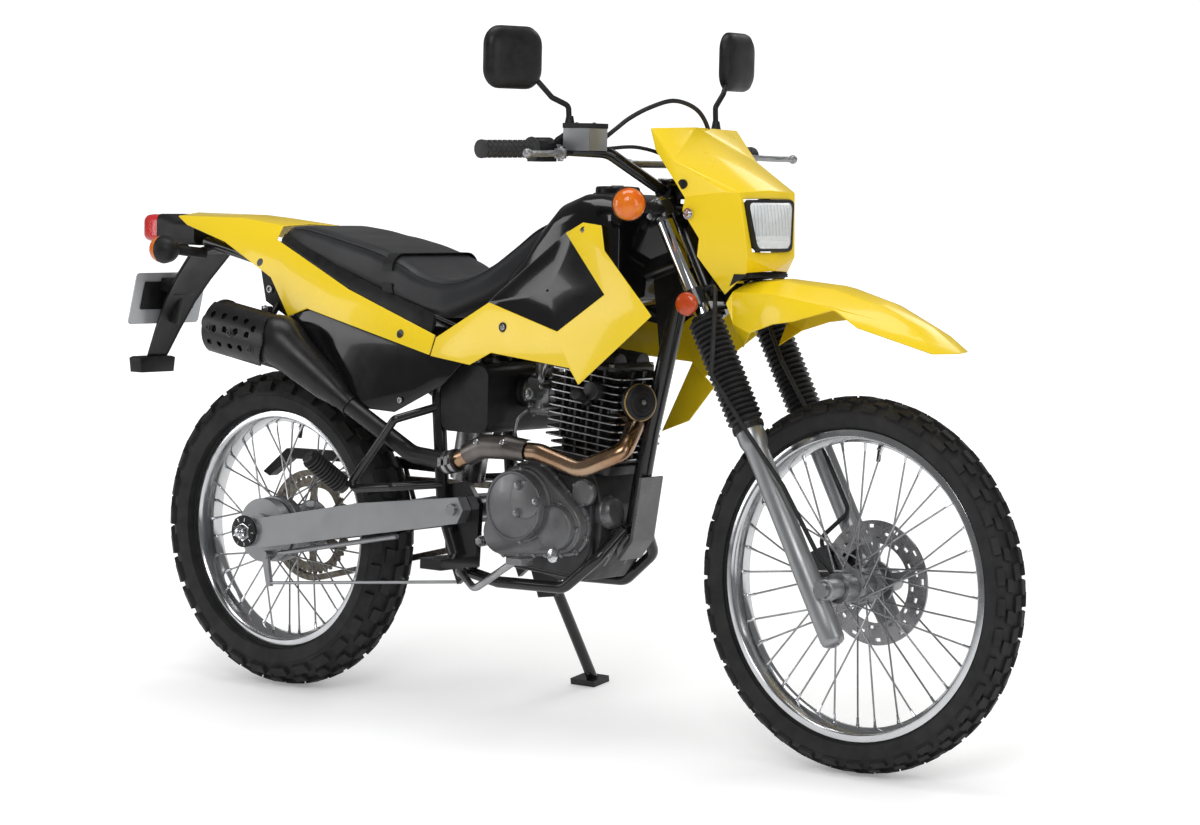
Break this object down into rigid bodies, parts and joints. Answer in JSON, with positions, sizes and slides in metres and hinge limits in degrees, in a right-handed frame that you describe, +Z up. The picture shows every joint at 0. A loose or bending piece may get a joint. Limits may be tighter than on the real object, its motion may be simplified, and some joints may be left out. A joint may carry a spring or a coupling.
{
  "type": "dual sport motorcycle",
  "caption": "Dual sport motorcycle with high fender, cowl with headlamp, shrouded tank, long seat, spoked wheels and block tread, leaning on its side stand.",
  "frame": {"origin": "on the ground, under the middle of the whole machine's box", "axes": "+X forward, +Y to the rider's left, +Z up; the machine leans 9 degrees to its left on the side stand"},
  "size_m": [2.1688, 0.8028, 1.351],
  "materials": {
    "amber_lens": "clear amber plastic",
    "axle_steel": "plated",
    "black_plastic": "satin moulded plastic",
    "carb_alloy": "cast",
    "chain_steel": "oiled",
    "clear_lens": "fluted clear lens",
    "engine_grey": "satin grey",
    "fin_black": "black with bright edges",
    "fork_alloy": "satin",
    "frame_paint": "gloss black",
    "hard_chrome": "polished",
    "header_steel": "heat tinted",
    "muffler_black": "satin black",
    "plate_white": "plain blank plate",
    "red_lens": "clear red plastic",
    "rubber": "matte",
    "seat_vinyl": "grained vinyl",
    "spring_steel": "gloss black",
    "swingarm_alloy": "satin",
    "tank_paint": "gloss black",
    "tyre_rubber": "matte rubber",
    "wheel_alloy": "polished rim, brushed hub",
    "yellow_plastic": "glossy moulded plastic",
    "yoke_black": "satin black"
  },
  "bodies": {
    "frame_assembly": {"airbox": "black_plastic", "carburettor": "carb_alloy", "chain": "chain_steel", "chain_guard": "black_plastic", "engine_cases": "engine_grey", "engine_cylinder": "fin_black", "exhaust_header": "header_steel", "foot_controls": "axle_steel", "foot_pegs": "rubber", "frame_cradle": "frame_paint", "frame_downtube": "frame_paint", "frame_spine": "frame_paint", "frame_uprights": "frame_paint", "fuel_tank": "tank_paint", "guard_plate": "frame_paint", "horn": "black_plastic", "muffler": "muffler_black", "number_plate": "plate_white", "rear_axle": "axle_steel", "rear_brake": "axle_steel", "rear_mudguard": "black_plastic", "rear_shock": "spring_steel", "rear_signals": "amber_lens", "seat": "seat_vinyl", "seat_rails": "frame_paint", "side_covers": "black_plastic", "swingarm_arms": "swingarm_alloy", "swingarm_pivot": "frame_paint", "tail_cover": "yellow_plastic", "tail_lamp": "red_lens", "tank_shrouds": "yellow_plastic"},
    "steering_assembly": {"fork_yokes": "yoke_black", "fork_tubes": "hard_chrome", "fork_sliders": "fork_alloy", "fork_gaiters": "rubber", "front_axle": "axle_steel", "brake_caliper": "fork_alloy", "handlebar": "yoke_black", "grips": "rubber", "hand_controls": "black_plastic", "mirrors": "black_plastic", "headlamp_cowl": "yellow_plastic", "headlamp": "clear_lens", "meter": "black_plastic", "front_fender": "yellow_plastic", "front_signals": "amber_lens", "brake_hose": "rubber", "speedometer_cable": "rubber"},
    "front_wheel_assembly": {"front_tyre": "tyre_rubber", "front_wheel": "wheel_alloy"},
    "rear_wheel_assembly": {"rear_tyre": "tyre_rubber", "rear_wheel": "wheel_alloy"},
    "side_stand": {"side_stand": "frame_paint"}
  },
  "joints": [
    {"name": "steering", "type": "hinge", "parent": "frame_assembly", "child": "steering_assembly", "pos_m": [0.68888, -0.1234, 0.30043], "axis": [-0.4772, 0.1375, 0.868], "range_deg": [-34, 34]},
    {"name": "front_wheel_spin", "type": "hinge", "parent": "steering_assembly", "child": "front_wheel_assembly", "pos_m": [0.74864, -0.11832, 0.33247], "axis": [0, 0.9877, -0.1564], "continuous": true},
    {"name": "rear_wheel_spin", "type": "hinge", "parent": "frame_assembly", "child": "rear_wheel_assembly", "pos_m": [-0.65636, -0.12098, 0.31568], "axis": [0, 0.9877, -0.1564], "continuous": true},
    {"name": "side_stand_fold", "type": "hinge", "parent": "frame_assembly", "child": "side_stand", "pos_m": [-0.05036, -0.0172, 0.22939], "axis": [0.0562, 0.898, 0.4365], "range_deg": [0, 80.3]}
  ]
}
